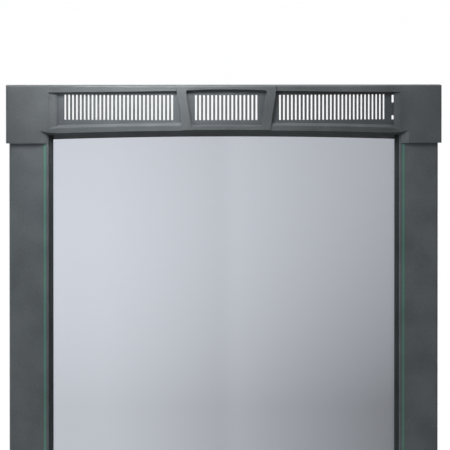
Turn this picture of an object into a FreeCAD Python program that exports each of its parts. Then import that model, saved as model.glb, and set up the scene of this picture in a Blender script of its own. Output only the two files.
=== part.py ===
import FreeCAD, Part
import os
from math import asin, atan2, cos, degrees, pi, sin, sqrt

# Acrylic rack door. All lengths in mm.
# Built about the door's own centre: X to the right seen from the front, Y towards the rack, Z up,
# X = 0 at mid width, Y = 0 on the front of the end blocks, Z = 0 at the foot of the door.
# put_out() moves every piece into the row frame, whose origin is the lower hinge's screw pattern.
V = FreeCAD.Vector

# Opening in sight: the width of 19 inch panels, and the height of 20 rack units of 44.45.
OPENING_WIDTH = 483.0
OPENING_HEIGHT = 889.0

# Fits
CAP_FIT = 0.2
CURVED_FIT = 0.3
PIN_FIT = 0.05
SCREW_FIT = 0.15

# Stiles: aluminium extrusions
STILE_WIDTH = 53.8
STILE_DEPTH = 25.0
STILE_WALL = 3.0
STILE_EDGE_RADIUS = 2.0
GROOVE_REACH = 13.5
PORT_RADIUS = 2.1
PORT_WALL = 2.4
PORT_INSET = 7.5
ACCENT_FROM_LIP = 6.0
ACCENT_WIDTH = 3.2
ACCENT_DEPTH = 1.2

# End caps: moulded hoods with a bowed fascia
CAP_HEIGHT = 80.0
CAP_WALL = 4.5
CAP_CORNER_RADIUS = 1.0
CAP_TOP_RADIUS = 2.0
BOW_RISE = 46.0
BOW_BLEND_RADIUS = 100.0
SOFFIT_HEIGHT = 6.5
SIGHT_DROP = 72.7
ARCH_RISE = 5.0
BLOCK_SPLAY_WIDTH = 12.5
BLOCK_SPLAY_LEFT = 0.5

# Panel and glazing
PANEL_SETBACK = 12.0
PANEL_THICKNESS = 5.0
PANEL_EDGE_DROP = 58.0
PANEL_SIDE_REACH = 11.0
GASKET_LEG = 1.4
GASKET_BEAD = 6.1
BAR_BACK_WALL = 3.0
BAR_SHELF = 3.5

# Vent: plate, windows and keystone
PLATE_THICKNESS = 1.2
PLATE_POCKET = 1.8
PLATE_TOP_DROP = 4.8
PLATE_FOOT_DROP = 57.8
PLATE_LEFT_MARGIN = 5.0
PLATE_RIGHT_MARGIN = 7.1
NOTCH_DEPTH = 3.5
NOTCH_DROPS = ((13.9, 24.2), (42.1, 47.6))
SLOT_PITCH = 5.54
SLOT_WIDTH = 2.6
SLOT_TOP_DROP = 12.9
SLOT_HEIGHT = 34.3
MIDDLE_SLOTS = 16
SIDE_FIRST_SLOT = 74.4
SIDE_LAST_MARGIN = 11.0
WINDOW_PAST_LIP = 1.0
WINDOW_STEP = 1.2
WINDOW_RAMP = 9.0
WINDOW_FLANGE = 3.2
FLANGE_THICKNESS = 1.4
WINDOW_TOP_DROP_OUT = 9.9
WINDOW_TOP_DROP_IN = 7.0
LEDGE_STRIP = 7.5
LEDGE_RISE = 4.9
KEY_TOP_HALF = 69.3
KEY_FOOT_HALF = 60.2
KEY_PROUD = 1.0
KEY_POCKET = 1.0
KEY_RETURN = 22.0
KEY_FLANGE = 1.3
EYE_TOP_HALF = 55.9
EYE_FOOT_HALF = 48.4
EYE_CORNER_DROP = 6.3
EYE_CROWN_DROP = 4.8
EYE_FOOT_DROP = 55.3
EYE_LEDGE = 2.6
EYE_CORNER_RADIUS = 2.5
STUD_RADIUS = 1.5
STUD_LENGTH = 6.5
STUD_DROPS = (17.0, 43.0)
CLIP_RADIUS = 4.0
CLIP_THICKNESS = 0.8

# Screws
CAP_SCREW_HEAD = 4.5
CAP_SCREW_HEAD_HEIGHT = 2.2
CAP_SCREW_LENGTH = 18.0
CAP_SCREW_SINK = 2.5
HINGE_SCREW_HEAD = 4.4
HINGE_SCREW_SHANK = 2.2
HINGE_SCREW_LENGTH = 8.0
SOCKET_FLATS = 3.0

# Hinges, behind the right stile at the heights of the end blocks. Widths run inwards from the pin's axis.
AXIS_INSET = 2.3
AXIS_BEHIND = 6.8
LUG_RADIUS = 6.0
PIN_RADIUS = 3.5
HINGE_SHEET = 3.0
BRACKET_HEIGHT = 50.0
BRACKET_DROP = 22.0
BRACKET_REACH = 31.0
PLATE_EDGE_FROM_AXIS = 7.0
LUG_REACH = 17.0
BRACKET_SCREW_REACH = 21.0
BRACKET_SCREW_SPACING = 26.0
EAR_GAP = 1.0
EAR_REACH = 27.0
LEAF_BACK = 17.3
LEAF_REACH = 47.0
LEAF_HEIGHT = 62.0
LEAF_HOLE_RADIUS = 3.3
LEAF_HOLE_SPACING = 32.0
LEAF_HOLE_DROP = 18.0
PIN_ABOVE_EAR = 3.0
PIN_BELOW_LUG = 12.0
PIN_HANDLE = 24.0
PIN_BEND = 6.0
CLIP_GROOVE = 0.5
PIN_CLIP_THICKNESS = 1.1
PIN_CLIP_RADIUS = 5.8
SPRING_WIRE = 1.2
SPRING_RADIUS = 4.8
SPRING_TURNS = 7
SPRING_STEPS = 14
SPRING_SIDES = 6
LOWER_PIN_RISE = 15.0
LOWER_PIN_HEAD = 5.5
LOWER_PIN_HEAD_HEIGHT = 2.0

# Cam lock in the left stile
LOCK_BARREL = 9.5
LOCK_FLANGE = 12.5
LOCK_FLANGE_THICKNESS = 2.5
LOCK_BEHIND = 8.0
PLUG_RADIUS = 6.5
PLUG_PROUD = 0.6
PLUG_TAIL = 8.0
PLUG_TAIL_LENGTH = 4.0
KEYWAY = (1.8, 7.5, 5.0)
LOCK_NUT_FLATS = 24.0
LOCK_NUT_THICKNESS = 5.0
CAM_THICKNESS = 2.5
CAM_REACH = 28.0
CAM_WIDTH = 16.0
CAM_SCREW_HEAD = 5.5
CAM_SCREW_HEAD_HEIGHT = 3.0
CAM_SCREW_SHANK = 2.0

# Worked out from the values above
CAP_OVERHANG = CAP_WALL + CAP_FIT
HALF_OPENING = OPENING_WIDTH / 2
STILE_OUT = HALF_OPENING + STILE_WIDTH
CAP_HALF = STILE_OUT + CAP_OVERHANG
DOOR_HEIGHT = OPENING_HEIGHT + 2 * SIGHT_DROP
STILE_FACE = CAP_WALL + CAP_FIT
STILE_BACK = STILE_FACE + STILE_DEPTH
STILE_FOOT = CAP_WALL
STILE_TOP = DOOR_HEIGHT - CAP_WALL
BOW_RADIUS = (HALF_OPENING ** 2 + BOW_RISE ** 2) / (2 * BOW_RISE)
BOW_CENTRE = BOW_RADIUS - BOW_RISE
BLEND_X = sqrt((BOW_RADIUS + BOW_BLEND_RADIUS) ** 2 - (BOW_CENTRE + BOW_BLEND_RADIUS) ** 2)
WALL_BACK_RADIUS = BOW_RADIUS - CAP_WALL
PANEL_FRONT_RADIUS = BOW_RADIUS - PANEL_SETBACK
PANEL_BACK_RADIUS = PANEL_FRONT_RADIUS - PANEL_THICKNESS
GROOVE_FRONT_RADIUS = PANEL_FRONT_RADIUS + GASKET_LEG + 2 * CURVED_FIT
GROOVE_BACK_RADIUS = PANEL_BACK_RADIUS - GASKET_LEG - 2 * CURVED_FIT
BAR_BACK_RADIUS = GROOVE_BACK_RADIUS - BAR_BACK_WALL
BAR_HALF = HALF_OPENING - GASKET_BEAD - CURVED_FIT
GROOVE_TOP = DOOR_HEIGHT - PANEL_EDGE_DROP + GASKET_LEG + 2 * CURVED_FIT
PANEL_TOP = DOOR_HEIGHT - PANEL_EDGE_DROP
PANEL_FOOT = PANEL_EDGE_DROP
PANEL_HALF = HALF_OPENING + PANEL_SIDE_REACH
PLATE_FRONT_RADIUS = WALL_BACK_RADIUS - CURVED_FIT
PLATE_BACK_RADIUS = PLATE_FRONT_RADIUS - PLATE_THICKNESS
CROWN_FRONT_DROP = SIGHT_DROP - SOFFIT_HEIGHT - ARCH_RISE
ARCH_TILT = degrees(atan2(ARCH_RISE, BOW_RISE))
PLATE_LEFT_END = HALF_OPENING - PLATE_LEFT_MARGIN
PLATE_RIGHT_END = HALF_OPENING - PLATE_RIGHT_MARGIN
WINDOW_END = HALF_OPENING + WINDOW_PAST_LIP
AXIS_X = STILE_OUT - AXIS_INSET
AXIS_Y = STILE_BACK + AXIS_BEHIND
BRACKET_LEFT = AXIS_X - BRACKET_REACH
BRACKET_RIGHT = AXIS_X - PLATE_EDGE_FROM_AXIS
LUG_LEFT = AXIS_X - LUG_REACH
BRACKET_SCREW_X = AXIS_X - BRACKET_SCREW_REACH
LEAF_LEFT = AXIS_X - LEAF_REACH
LEAF_RIGHT = AXIS_X - PLATE_EDGE_FROM_AXIS
LEAF_FACE = STILE_BACK + LEAF_BACK
LOCK_X = -(HALF_OPENING + STILE_WIDTH / 2)
LOCK_Z = DOOR_HEIGHT / 2
EAR_FOOT = DOOR_HEIGHT - BRACKET_DROP + EAR_GAP
EAR_TOP = EAR_FOOT + HINGE_SHEET
LEAF_HOLE_X = (LEAF_LEFT + LEAF_RIGHT) / 2
LEAF_HOLE_MIDDLE = EAR_TOP - LEAF_HOLE_DROP - LEAF_HOLE_SPACING / 2
ROW_ORIGIN = V(LEAF_HOLE_X, LEAF_FACE, DOOR_HEIGHT - LEAF_HOLE_MIDDLE)


# Shape helpers

def box(x0, x1, y0, y1, z0, z1):
    return Part.makeBox(x1 - x0, y1 - y0, z1 - z0, V(x0, y0, z0))


def upright(x, y, radius, z0, z1):
    """Cylinder along Z."""
    return Part.makeCylinder(radius, z1 - z0, V(x, y, z0))


def through(x, z, radius, y0, y1):
    """Cylinder along Y."""
    return Part.makeCylinder(radius, y1 - y0, V(x, y0, z), V(0, 1, 0))


def plan_prism(points, z0, z1):
    """Polygon drawn in plan (x, y), from z0 up to z1."""
    corners = [V(x, y, z0) for x, y in points]
    face = Part.Face(Part.makePolygon(corners + corners[:1]))
    return face.extrude(V(0, 0, z1 - z0))


def front_prism(points, y0, y1):
    """Polygon drawn from the front (x, z), from y0 back to y1."""
    corners = [V(x, y0, z) for x, z in points]
    face = Part.Face(Part.makePolygon(corners + corners[:1]))
    return face.extrude(V(0, y1 - y0, 0))


def ring(outer, inner, z0, z1):
    """Ring about the bow's upright axis."""
    return upright(0, BOW_CENTRE, outer, z0, z1).cut(upright(0, BOW_CENTRE, inner, z0 - 1, z1 + 1))


def bowed(outer, inner, x0, x1, z0, z1):
    """The part of a ring that lies in front of the bow's axis, between two X values."""
    return ring(outer, inner, z0, z1).common(box(x0, x1, BOW_CENTRE - outer - 1, BOW_CENTRE / 2, z0, z1))


def arched(points):
    """Profile of (radius, height over the crown of the soffit's front edge) turned about the bow's axis, then
    tilted about the crown, so that what it cuts on the bowed walls rises by ARCH_RISE to the middle."""
    crown = DOOR_HEIGHT - CROWN_FRONT_DROP
    corners = [V(0, BOW_CENTRE - r, crown + h) for r, h in points]
    face = Part.Face(Part.makePolygon(corners + corners[:1]))
    face.rotate(V(0, BOW_CENTRE, 0), V(0, 0, 1), -40)
    solid = face.revolve(V(0, BOW_CENTRE, 0), V(0, 0, 1), 80)
    solid.rotate(V(0, -BOW_RISE, crown), V(1, 0, 0), -ARCH_TILT)
    return solid


def bow_y(radius, x):
    return BOW_CENTRE - sqrt(radius ** 2 - x ** 2)


def blend_back_y(x):
    """Back of the fascia's wall where the bow blends into the end block."""
    return sqrt((BOW_BLEND_RADIUS + CAP_WALL) ** 2 - (BLEND_X - x) ** 2) - BOW_BLEND_RADIUS


def mirror_x(shape):
    return shape.mirror(V(0, 0, 0), V(1, 0, 0))


def turn_over(shape):
    """From the top end of the door to the bottom end."""
    return shape.mirror(V(0, 0, DOOR_HEIGHT / 2), V(0, 0, 1))


def hexagon(flats, x, y, z, depth, axis):
    """Hexagonal prism from (x, y, z) along axis."""
    corners = []
    for i in range(7):
        a = i * pi / 3
        across, up = flats / sqrt(3) * cos(a), flats / sqrt(3) * sin(a)
        corners.append(V(x + across, y, z + up) if axis.y else V(x + across, y + up, z))
    return Part.Face(Part.makePolygon(corners)).extrude(axis * depth)


# End caps

def cap_plan(inset, back):
    """Plan of the cap, its front and sides moved in by inset: flat end blocks, blend arcs, bowed middle."""
    side = CAP_HALF - inset
    ux = BLEND_X / (BOW_RADIUS + BOW_BLEND_RADIUS)
    uy = -(BOW_CENTRE + BOW_BLEND_RADIUS) / (BOW_RADIUS + BOW_BLEND_RADIUS)
    bow_x = ux * (BOW_RADIUS - inset)
    bow_at = BOW_CENTRE + uy * (BOW_RADIUS - inset)
    blend = BOW_BLEND_RADIUS + inset
    mid = V(-ux, 1 - uy, 0).normalize() * blend
    mid_x, mid_y = BLEND_X + mid.x, mid.y - BOW_BLEND_RADIUS
    edges = [
        Part.makeLine(V(-side, back, 0), V(-side, inset, 0)),
        Part.makeLine(V(-side, inset, 0), V(-BLEND_X, inset, 0)),
        Part.Arc(V(-BLEND_X, inset, 0), V(-mid_x, mid_y, 0), V(-bow_x, bow_at, 0)).toShape(),
        Part.Arc(V(-bow_x, bow_at, 0), V(0, inset - BOW_RISE, 0), V(bow_x, bow_at, 0)).toShape(),
        Part.Arc(V(bow_x, bow_at, 0), V(mid_x, mid_y, 0), V(BLEND_X, inset, 0)).toShape(),
        Part.makeLine(V(BLEND_X, inset, 0), V(side, inset, 0)),
        Part.makeLine(V(side, inset, 0), V(side, back, 0)),
        Part.makeLine(V(side, back, 0), V(-side, back, 0)),
    ]
    return Part.Face(Part.Wire(edges))


def opening_void():
    """What the cap leaves open over the panel: below the arched soffit and between the end blocks' splays."""
    slope = SOFFIT_HEIGHT / (BOW_RADIUS - GROOVE_FRONT_RADIUS)
    ahead = 30
    soffit = arched([
        (BAR_BACK_RADIUS - 20, -SOFFIT_HEIGHT),
        (GROOVE_FRONT_RADIUS, -SOFFIT_HEIGHT),
        (BOW_RADIUS + ahead, ahead * slope),
        (BOW_RADIUS + ahead, -CAP_HEIGHT),
        (BAR_BACK_RADIUS - 20, -CAP_HEIGHT),
    ])
    splay_depth = CAP_WALL - BLOCK_SPLAY_LEFT
    wide = HALF_OPENING + BLOCK_SPLAY_WIDTH
    far = -BOW_RISE - 40
    spread = wide - far * BLOCK_SPLAY_WIDTH / splay_depth
    half = [(HALF_OPENING, STILE_BACK + 40), (HALF_OPENING, splay_depth), (spread, far)]
    other = [(-x, y) for x, y in reversed(half)]
    return soffit.common(plan_prism(half + other, DOOR_HEIGHT - 2 * CAP_HEIGHT, DOOR_HEIGHT))


def solid_hood(inset):
    """The hood's outside moved in by inset, filled, and rounded along the top edge of its front. Top end."""
    foot = DOOR_HEIGHT - CAP_HEIGHT
    top = DOOR_HEIGHT - inset
    hood = cap_plan(inset, STILE_BACK).extrude(V(0, 0, top - foot))
    hood.translate(V(0, 0, foot))
    front_top = [e for e in hood.Edges
                 if abs(e.BoundBox.ZMin - top) < 0.01 and e.BoundBox.YMax < inset + 0.01]
    return hood.makeFillet(CAP_TOP_RADIUS - inset, front_top)


def plain_cap():
    """Hood over the stile ends with a bowed, arched fascia and the groove for the panel's edge. Top end."""
    foot = DOOR_HEIGHT - CAP_HEIGHT
    hood = solid_hood(0)
    ends = [e for e in hood.Edges
            if e.BoundBox.XLength < 0.01 and abs(abs(e.CenterOfMass.x) - CAP_HALF) < 0.01
            and e.BoundBox.ZMax > foot + 0.01 and e.BoundBox.YMin < STILE_BACK - 0.01]
    hood = hood.makeFillet(CAP_CORNER_RADIUS, ends)
    hollow = cap_plan(CAP_WALL, STILE_BACK + 10).extrude(V(0, 0, CAP_HEIGHT))
    hollow.translate(V(0, 0, foot - CAP_WALL))
    hood = hood.cut(hollow)
    bar = bowed(WALL_BACK_RADIUS + CAP_WALL / 2, BAR_BACK_RADIUS, -BAR_HALF, BAR_HALF, foot, GROOVE_TOP + BAR_SHELF)
    groove = bowed(GROOVE_FRONT_RADIUS, GROOVE_BACK_RADIUS, -BAR_HALF - 1, BAR_HALF + 1, foot - 5, GROOVE_TOP)
    cap = hood.fuse(bar.cut(groove)).cut(opening_void())
    for x in port_places():
        for side in (-1, 1):
            cap = cap.cut(upright(side * x, port_y(), PORT_RADIUS + SCREW_FIT, foot, DOOR_HEIGHT + 1))
            sink = upright(side * x, port_y(), CAP_SCREW_HEAD + SCREW_FIT, DOOR_HEIGHT - CAP_SCREW_SINK, DOOR_HEIGHT + 1)
            cap = cap.cut(sink)
    return cap


def keystone_prism(grow, y0, y1, z1):
    """The keystone's outline from the front, grown sideways."""
    drop = CAP_HEIGHT
    lean = (KEY_TOP_HALF - KEY_FOOT_HALF) / CROWN_FRONT_DROP
    top = KEY_TOP_HALF + grow + lean * (z1 - DOOR_HEIGHT)
    foot = KEY_TOP_HALF + grow - lean * drop
    z0 = DOOR_HEIGHT - drop
    return front_prism([(-top, z1), (top, z1), (foot, z0), (-foot, z0)], y0, y1)


def eye_prism(grow, foot_drop, y0, y1):
    """The middle window's outline from the front: leaning sides, arched head, rounded corners."""
    lean = (EYE_TOP_HALF - EYE_FOOT_HALF) / (EYE_FOOT_DROP - EYE_CORNER_DROP)
    top_z = DOOR_HEIGHT - EYE_CORNER_DROP + grow
    foot_z = DOOR_HEIGHT - foot_drop - grow
    top = EYE_TOP_HALF + grow
    foot = top - lean * (top_z - foot_z)
    head = Part.Arc(V(-top, y0, top_z), V(0, y0, DOOR_HEIGHT - EYE_CROWN_DROP + grow), V(top, y0, top_z)).toShape()
    sides = Part.makePolygon([V(top, y0, top_z), V(foot, y0, foot_z), V(-foot, y0, foot_z), V(-top, y0, top_z)])
    solid = Part.Face(Part.Wire([head] + sides.Edges)).extrude(V(0, y1 - y0, 0))
    lengthwise = [e for e in solid.Edges if e.BoundBox.YLength > 1]
    return solid.makeFillet(EYE_CORNER_RADIUS + grow, lengthwise)


def over_ledge(back_radius, front_radius, front_height, rise):
    """Everything over a sloping sill that drops by rise from back_radius out to front_radius."""
    slope = rise / (front_radius - back_radius)
    return arched([
        (back_radius - 2, front_height + rise + 2 * slope),
        (front_radius + 8, front_height - 8 * slope),
        (front_radius + 8, CAP_HEIGHT),
        (back_radius - 2, CAP_HEIGHT),
    ])


def side_window(flange_width):
    """Cutter for the right window: leaning inner end under the keystone, sloping sill, and an outer end that steps
    in and ramps down to a thin flange of the given width."""
    front = -BOW_RISE - 20
    lean = (KEY_TOP_HALF - KEY_FOOT_HALF) / CROWN_FRONT_DROP
    hidden = 0.6
    inner_top = KEY_TOP_HALF - hidden - lean * WINDOW_TOP_DROP_IN
    inner_foot = KEY_TOP_HALF - hidden - lean * CAP_HEIGHT
    outline = front_prism([
        (inner_top, DOOR_HEIGHT - WINDOW_TOP_DROP_IN),
        (WINDOW_END + 1, DOOR_HEIGHT - WINDOW_TOP_DROP_OUT),
        (WINDOW_END + 1, DOOR_HEIGHT - CAP_HEIGHT),
        (inner_foot, DOOR_HEIGHT - CAP_HEIGHT),
    ], front, STILE_BACK)
    flange_edges = [WINDOW_END - WINDOW_RAMP]
    if flange_width > 0:
        flange_edges.append(WINDOW_END - WINDOW_RAMP - flange_width)
    step_y = blend_back_y(WINDOW_END) - CAP_WALL + WINDOW_STEP
    plan = [(0, front), (WINDOW_END, front), (WINDOW_END, step_y)]
    plan += [(x, blend_back_y(x) - FLANGE_THICKNESS) for x in flange_edges]
    plan += [(flange_edges[-1], STILE_BACK), (0, STILE_BACK)]
    ramp = plan_prism(plan, DOOR_HEIGHT - CAP_HEIGHT, DOOR_HEIGHT)
    wall = bowed(BOW_RADIUS + 8, WALL_BACK_RADIUS - 0.1, 0, WINDOW_END + 2, DOOR_HEIGHT - CAP_HEIGHT, DOOR_HEIGHT)
    sill = over_ledge(WALL_BACK_RADIUS, BOW_RADIUS, LEDGE_STRIP, LEDGE_RISE)
    return outline.common(ramp).common(wall).common(sill)


def stud_places():
    """Middle of each keystone rib at two heights, as (x, z)."""
    places = []
    for drop in STUD_DROPS:
        lean = (EYE_TOP_HALF - EYE_FOOT_HALF) / (EYE_FOOT_DROP - EYE_CORNER_DROP)
        x = (KEY_TOP_HALF + EYE_TOP_HALF) / 2 - lean * drop
        places += [(x, DOOR_HEIGHT - drop), (-x, DOOR_HEIGHT - drop)]
    return places


def radial(x, z, radius, outer, inner):
    """Cylinder along the bow's radius at x, from radius outer in to inner."""
    out = V(x, bow_y(WALL_BACK_RADIUS, x) - BOW_CENTRE, 0).normalize()
    return Part.makeCylinder(radius, outer - inner, V(0, BOW_CENTRE, z) + out * inner, out)


def make_top_cap():
    cap = plain_cap()
    pocket = bowed(WALL_BACK_RADIUS, WALL_BACK_RADIUS - PLATE_POCKET, -BAR_HALF - 1, BAR_HALF + 1,
                   DOOR_HEIGHT - PLATE_FOOT_DROP - 0.5, GROOVE_TOP + BAR_SHELF + 1)
    cap = cap.cut(pocket)
    cap = cap.cut(side_window(0)).cut(mirror_x(side_window(WINDOW_FLANGE)))
    eye = eye_prism(KEY_FLANGE + CURVED_FIT, EYE_FOOT_DROP, -BOW_RISE - 20, STILE_BACK)
    front_wall = bowed(BOW_RADIUS + 8, WALL_BACK_RADIUS - 0.1, -EYE_TOP_HALF - 9, EYE_TOP_HALF + 9,
                       DOOR_HEIGHT - CAP_HEIGHT, DOOR_HEIGHT + 1)
    cap = cap.cut(eye.common(front_wall))
    seat = keystone_prism(CURVED_FIT, -BOW_RISE - 20, STILE_BACK, DOOR_HEIGHT + 5)
    reach = bowed(BOW_RADIUS + 8, BOW_RADIUS - KEY_RETURN, -CAP_HALF, CAP_HALF, DOOR_HEIGHT - CAP_HEIGHT, DOOR_HEIGHT + 5)
    cap = cap.cut(seat.common(reach).cut(solid_hood(KEY_POCKET)))
    for x, z in stud_places():
        cap = cap.fuse(radial(x, z, STUD_RADIUS, WALL_BACK_RADIUS + 1, WALL_BACK_RADIUS - STUD_LENGTH))
    return cap


def make_keystone_bezel():
    """Keystone skin over the cap's front and top, with a flange that lines the middle window."""
    inside = BOW_RADIUS - KEY_POCKET + CURVED_FIT
    outside = BOW_RADIUS + KEY_PROUD
    top = DOOR_HEIGHT + KEY_PROUD
    block = keystone_prism(0, -BOW_RISE - 20, STILE_BACK, top)
    reach = bowed(outside, BOW_RADIUS - KEY_RETURN + CURVED_FIT, -CAP_HALF, CAP_HALF, DOOR_HEIGHT - CAP_HEIGHT, top)
    outer_skin = solid_hood(-KEY_PROUD)
    skin = outer_skin.cut(solid_hood(KEY_POCKET - CURVED_FIT))
    bezel = block.common(reach).common(skin).cut(opening_void())
    back = WALL_BACK_RADIUS + CURVED_FIT
    flange = eye_prism(KEY_FLANGE, EYE_FOOT_DROP, -BOW_RISE - 20, STILE_BACK)
    flange = flange.common(bowed(inside + 0.5, back, -CAP_HALF, CAP_HALF, DOOR_HEIGHT - CAP_HEIGHT, top))
    flange = flange.common(outer_skin)
    front_height = CROWN_FRONT_DROP - EYE_FOOT_DROP
    sill = over_ledge(back, outside, front_height, EYE_LEDGE)
    eye = eye_prism(0, EYE_FOOT_DROP, -BOW_RISE - 20, STILE_BACK).common(sill)
    return bezel.fuse(flange).cut(eye)


# Vent plate

def slot_places():
    """Arc lengths of the slots from the middle, along the plate. Each side has as many as its width takes."""
    middle = [(i - (MIDDLE_SLOTS - 1) / 2) * SLOT_PITCH for i in range(MIDDLE_SLOTS)]
    side_end = PLATE_FRONT_RADIUS * asin(PLATE_RIGHT_END / PLATE_FRONT_RADIUS) - SIDE_LAST_MARGIN
    side_slots = int((side_end - SIDE_FIRST_SLOT) / SLOT_PITCH) + 1
    right = [SIDE_FIRST_SLOT + i * SLOT_PITCH for i in range(side_slots)]
    return [-s for s in reversed(right)] + middle + right


def make_vent_plate():
    foot, top = DOOR_HEIGHT - PLATE_FOOT_DROP, DOOR_HEIGHT - PLATE_TOP_DROP
    plate = bowed(PLATE_FRONT_RADIUS, PLATE_BACK_RADIUS, -PLATE_LEFT_END, PLATE_RIGHT_END, foot, top)
    slot_foot = DOOR_HEIGHT - SLOT_TOP_DROP - SLOT_HEIGHT
    cutters = []
    for s in slot_places():
        slot = box(-SLOT_WIDTH / 2, SLOT_WIDTH / 2, -PLATE_FRONT_RADIUS - 2, -PLATE_BACK_RADIUS + 2, 0, SLOT_HEIGHT)
        slot.rotate(V(0, 0, 0), V(0, 0, 1), degrees(s / PLATE_FRONT_RADIUS))
        slot.translate(V(0, BOW_CENTRE, slot_foot))
        cutters.append(slot)
    for end in (-PLATE_LEFT_END, PLATE_RIGHT_END):
        for upper, lower in NOTCH_DROPS:
            cutters.append(box(end - NOTCH_DEPTH, end + NOTCH_DEPTH, -BOW_RISE, STILE_BACK,
                               DOOR_HEIGHT - lower, DOOR_HEIGHT - upper))
    for x, z in stud_places():
        cutters.append(radial(x, z, STUD_RADIUS + CURVED_FIT, PLATE_FRONT_RADIUS + 2, PLATE_BACK_RADIUS - 2))
    return plate.cut(Part.makeCompound(cutters))


def make_vent_plate_clips():
    clips = []
    for x, z in stud_places():
        outer = PLATE_BACK_RADIUS - 0.1
        clip = radial(x, z, CLIP_RADIUS, outer, outer - CLIP_THICKNESS)
        clips.append(clip.cut(radial(x, z, STUD_RADIUS + 0.1, outer + 1, outer - CLIP_THICKNESS - 1)))
    return Part.makeCompound(clips)


# Stiles, inlays, panel and glazing

def port_places():
    """X of the two screw ports in the right stile."""
    return (HALF_OPENING + GROOVE_REACH + STILE_WALL + PORT_INSET, STILE_OUT - STILE_WALL - PORT_INSET / 2 - 0.5)


def port_y():
    return STILE_BACK - STILE_WALL - PORT_RADIUS - PORT_WALL + 0.5


def right_extrusion():
    """The right stile without holes: glazing groove in its inner side, accent groove in its face."""
    stile = box(HALF_OPENING, STILE_OUT, STILE_FACE, STILE_BACK, STILE_FOOT, STILE_TOP)
    front = [e for e in stile.Edges if e.BoundBox.ZLength > 1 and abs(e.CenterOfMass.y - STILE_FACE) < 0.01]
    stile = stile.makeFillet(STILE_EDGE_RADIUS, front)
    groove = bowed(GROOVE_FRONT_RADIUS, GROOVE_BACK_RADIUS, HALF_OPENING - 10, HALF_OPENING + GROOVE_REACH,
                   STILE_FOOT - 1, STILE_TOP + 1)
    stile = stile.cut(groove)
    chamber = box(HALF_OPENING + GROOVE_REACH + STILE_WALL, STILE_OUT - STILE_WALL,
                  STILE_FACE + STILE_WALL, STILE_BACK - STILE_WALL, STILE_FOOT - 1, STILE_TOP + 1)
    for x in port_places():
        chamber = chamber.cut(upright(x, port_y(), PORT_RADIUS + PORT_WALL, STILE_FOOT - 2, STILE_TOP + 2))
    stile = stile.cut(chamber)
    for x in port_places():
        stile = stile.cut(upright(x, port_y(), PORT_RADIUS, STILE_FOOT - 1, STILE_TOP + 1))
    middle = HALF_OPENING + ACCENT_FROM_LIP
    return stile.cut(box(middle - ACCENT_WIDTH / 2, middle + ACCENT_WIDTH / 2, STILE_FACE - 1,
                         STILE_FACE + ACCENT_DEPTH, STILE_FOOT - 1, STILE_TOP + 1))


def bracket_screw_heights():
    """Z of the four screws that hold the hinge brackets."""
    middle = DOOR_HEIGHT - BRACKET_DROP - BRACKET_HEIGHT / 2
    upper = [middle - BRACKET_SCREW_SPACING / 2, middle + BRACKET_SCREW_SPACING / 2]
    return upper + [DOOR_HEIGHT - z for z in upper]


def make_right_stile():
    stile = right_extrusion()
    for z in bracket_screw_heights():
        hole = through(BRACKET_SCREW_X, z, HINGE_SCREW_SHANK + SCREW_FIT, STILE_BACK - STILE_WALL - 1, STILE_BACK + 1)
        stile = stile.cut(hole)
    return stile


def make_left_stile():
    stile = mirror_x(right_extrusion())
    return stile.cut(through(LOCK_X, LOCK_Z, LOCK_BARREL + SCREW_FIT, STILE_FACE - 1, STILE_BACK + 1))


def make_accent_strip():
    """Right inlay, let in a little below the stile's face."""
    middle = HALF_OPENING + ACCENT_FROM_LIP
    half = ACCENT_WIDTH / 2 - 0.05
    return box(middle - half, middle + half, STILE_FACE + 0.25, STILE_FACE + ACCENT_DEPTH, STILE_FOOT + 6, STILE_TOP - 6)


def make_panel():
    return bowed(PANEL_FRONT_RADIUS, PANEL_BACK_RADIUS, -PANEL_HALF, PANEL_HALF, PANEL_FOOT, PANEL_TOP)


def make_side_gasket():
    """Right glazing channel: two legs round the panel's edge, and a bead that fills the corner to the stile's lip."""
    outer = GROOVE_FRONT_RADIUS - CURVED_FIT
    inner = GROOVE_BACK_RADIUS + CURVED_FIT
    lip = HALF_OPENING - CURVED_FIT
    far = HALF_OPENING + GROOVE_REACH - CURVED_FIT
    bead = HALF_OPENING - GASKET_BEAD
    channel = bowed(outer, inner, lip - 1, far, PANEL_FOOT, PANEL_TOP)
    front = plan_prism([
        (lip, STILE_FACE + 2.6), (lip, bow_y(PANEL_FRONT_RADIUS, lip) + 1.5),
        (bead, bow_y(PANEL_FRONT_RADIUS, bead) + 1.5), (bead, bow_y(PANEL_FRONT_RADIUS, bead) - 1.0),
        (bead + 2.2, STILE_FACE + 3.0),
    ], PANEL_FOOT, PANEL_TOP)
    back = plan_prism([
        (lip, bow_y(PANEL_BACK_RADIUS, lip) - 1.5), (lip, bow_y(PANEL_BACK_RADIUS, lip) + 3.5),
        (bead, bow_y(PANEL_BACK_RADIUS, bead) + 1.2), (bead, bow_y(PANEL_BACK_RADIUS, bead) - 1.5),
    ], PANEL_FOOT, PANEL_TOP)
    sheet = bowed(PANEL_FRONT_RADIUS + CURVED_FIT, PANEL_BACK_RADIUS - CURVED_FIT, 0, PANEL_HALF + CURVED_FIT,
                  PANEL_FOOT - 1, PANEL_TOP + 1)
    return channel.fuse(front).fuse(back).cut(sheet)


def make_top_gasket():
    """Channel over the panel's top edge, inside the cap's groove."""
    half = BAR_HALF - CURVED_FIT
    crown_edge = DOOR_HEIGHT - SIGHT_DROP + ARCH_RISE
    foot = crown_edge + 3.5
    channel = bowed(GROOVE_FRONT_RADIUS - CURVED_FIT, GROOVE_BACK_RADIUS + CURVED_FIT, -half, half,
                    foot, GROOVE_TOP - CURVED_FIT)
    sheet = bowed(PANEL_FRONT_RADIUS + CURVED_FIT, PANEL_BACK_RADIUS - CURVED_FIT, -half - 1, half + 1,
                  foot - 1, PANEL_TOP + CURVED_FIT)
    return channel.cut(sheet)


# Screws

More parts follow.
